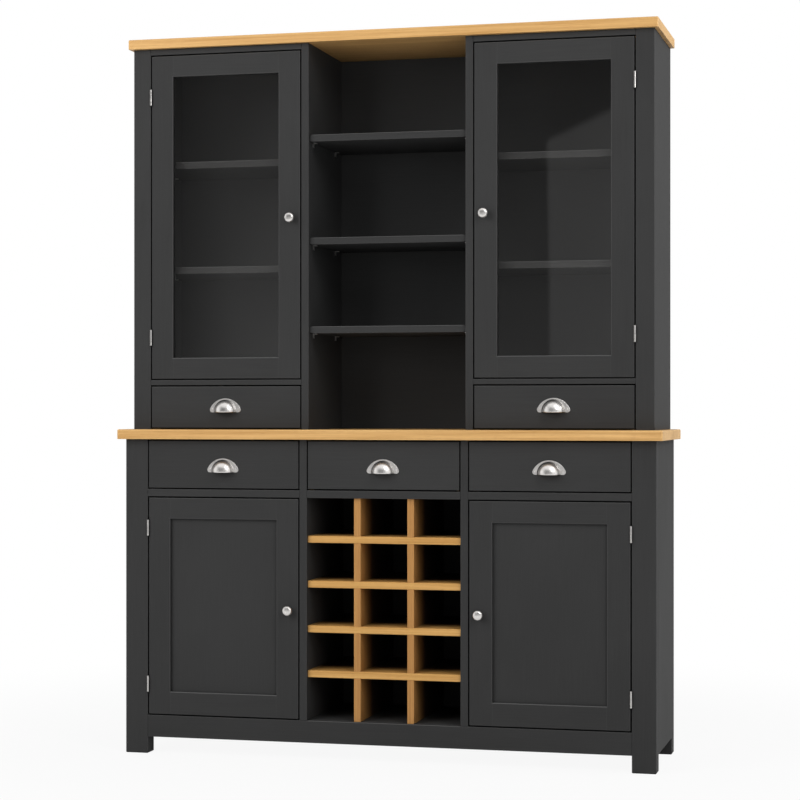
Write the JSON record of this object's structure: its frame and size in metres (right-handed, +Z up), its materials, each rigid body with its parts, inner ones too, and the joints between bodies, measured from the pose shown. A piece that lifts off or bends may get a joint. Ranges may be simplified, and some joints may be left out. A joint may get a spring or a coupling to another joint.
{
  "type": "kitchen dresser",
  "caption": "Tall painted kitchen dresser: glazed hutch doors, open shelves and drawers over an oak worktop, with panelled doors, drawers and a wine rack below.",
  "frame": {"origin": "on the floor, under the middle of the overall box", "axes": "X to the right as seen from the front, Y from the front to the back, Z up"},
  "size_m": [1.45, 0.3866, 1.9],
  "materials": {
    "charcoal_paint": "satin charcoal paint on wood",
    "oak": "oiled oak",
    "drawer_wood": "plain sealed wood",
    "nickel": "satin nickel",
    "glass": "clear float glass",
    "catch_plastic": "matt black plastic"
  },
  "bodies": {
    "carcass": {"base_back": "charcoal_paint", "base_bottom_rail": "charcoal_paint", "base_drawer_rails": "charcoal_paint", "base_floor": "charcoal_paint", "base_partitions": "charcoal_paint", "base_posts": "charcoal_paint", "base_shelves": "charcoal_paint", "base_side_panels": "charcoal_paint", "cabinet_shelves": "charcoal_paint", "centre_shelves": "charcoal_paint", "door_catches": "catch_plastic", "drawer_runners": "drawer_wood", "hinge_fixed_leaves": "nickel", "hinge_pins": "nickel", "hutch_back": "charcoal_paint", "hutch_cabinet_floors": "charcoal_paint", "hutch_partitions": "charcoal_paint", "hutch_sides": "charcoal_paint", "hutch_stiles": "charcoal_paint", "hutch_top": "oak", "hutch_top_rails": "charcoal_paint", "rack_dividers": "oak", "rack_shelves": "oak", "rack_top": "charcoal_paint", "shelf_supports": "nickel", "worktop": "oak"},
    "lower_left_drawer": {"lower_left_drawer_box": "drawer_wood", "lower_left_drawer_front": "charcoal_paint", "lower_left_drawer_pull": "nickel"},
    "lower_centre_drawer": {"lower_centre_drawer_box": "drawer_wood", "lower_centre_drawer_front": "charcoal_paint", "lower_centre_drawer_pull": "nickel"},
    "lower_right_drawer": {"lower_right_drawer_box": "drawer_wood", "lower_right_drawer_front": "charcoal_paint", "lower_right_drawer_pull": "nickel"},
    "upper_left_drawer": {"upper_left_drawer_box": "drawer_wood", "upper_left_drawer_front": "charcoal_paint", "upper_left_drawer_pull": "nickel"},
    "upper_right_drawer": {"upper_right_drawer_box": "drawer_wood", "upper_right_drawer_front": "charcoal_paint", "upper_right_drawer_pull": "nickel"},
    "lower_left_door": {"lower_left_door_frame": "charcoal_paint", "lower_left_door_hinge_leaves": "nickel", "lower_left_door_knob": "nickel", "lower_left_door_panel": "charcoal_paint"},
    "lower_right_door": {"lower_right_door_frame": "charcoal_paint", "lower_right_door_hinge_leaves": "nickel", "lower_right_door_knob": "nickel", "lower_right_door_panel": "charcoal_paint"},
    "upper_left_door": {"upper_left_door_beads": "charcoal_paint", "upper_left_door_frame": "charcoal_paint", "upper_left_door_glass": "glass", "upper_left_door_hinge_leaves": "nickel", "upper_left_door_knob": "nickel"},
    "upper_right_door": {"upper_right_door_beads": "charcoal_paint", "upper_right_door_frame": "charcoal_paint", "upper_right_door_glass": "glass", "upper_right_door_hinge_leaves": "nickel", "upper_right_door_knob": "nickel"}
  },
  "joints": [
    {"name": "lower_left_drawer_slide", "type": "slide", "parent": "carcass", "child": "lower_left_drawer", "axis": [0, -1, 0], "range_m": [0, 0.22]},
    {"name": "lower_centre_drawer_slide", "type": "slide", "parent": "carcass", "child": "lower_centre_drawer", "axis": [0, -1, 0], "range_m": [0, 0.22]},
    {"name": "lower_right_drawer_slide", "type": "slide", "parent": "carcass", "child": "lower_right_drawer", "axis": [0, -1, 0], "range_m": [0, 0.22]},
    {"name": "upper_left_drawer_slide", "type": "slide", "parent": "carcass", "child": "upper_left_drawer", "axis": [0, -1, 0], "range_m": [0, 0.19]},
    {"name": "upper_right_drawer_slide", "type": "slide", "parent": "carcass", "child": "upper_right_drawer", "axis": [0, -1, 0], "range_m": [0, 0.19]},
    {"name": "lower_left_door_hinge", "type": "hinge", "parent": "carcass", "child": "lower_left_door", "pos_m": [-0.6435, -0.1698, 0.5], "axis": [0, 0, -1], "range_deg": [0, 165]},
    {"name": "lower_right_door_hinge", "type": "hinge", "parent": "carcass", "child": "lower_right_door", "pos_m": [0.6435, -0.1698, 0.5], "axis": [0, 0, 1], "range_deg": [0, 165]},
    {"name": "upper_left_door_hinge", "type": "hinge", "parent": "carcass", "child": "upper_left_door", "pos_m": [-0.6485, -0.1348, 1.4], "axis": [0, 0, -1], "range_deg": [0, 165]},
    {"name": "upper_right_door_hinge", "type": "hinge", "parent": "carcass", "child": "upper_right_door", "pos_m": [0.6485, -0.1348, 1.4], "axis": [0, 0, 1], "range_deg": [0, 165]}
  ]
}
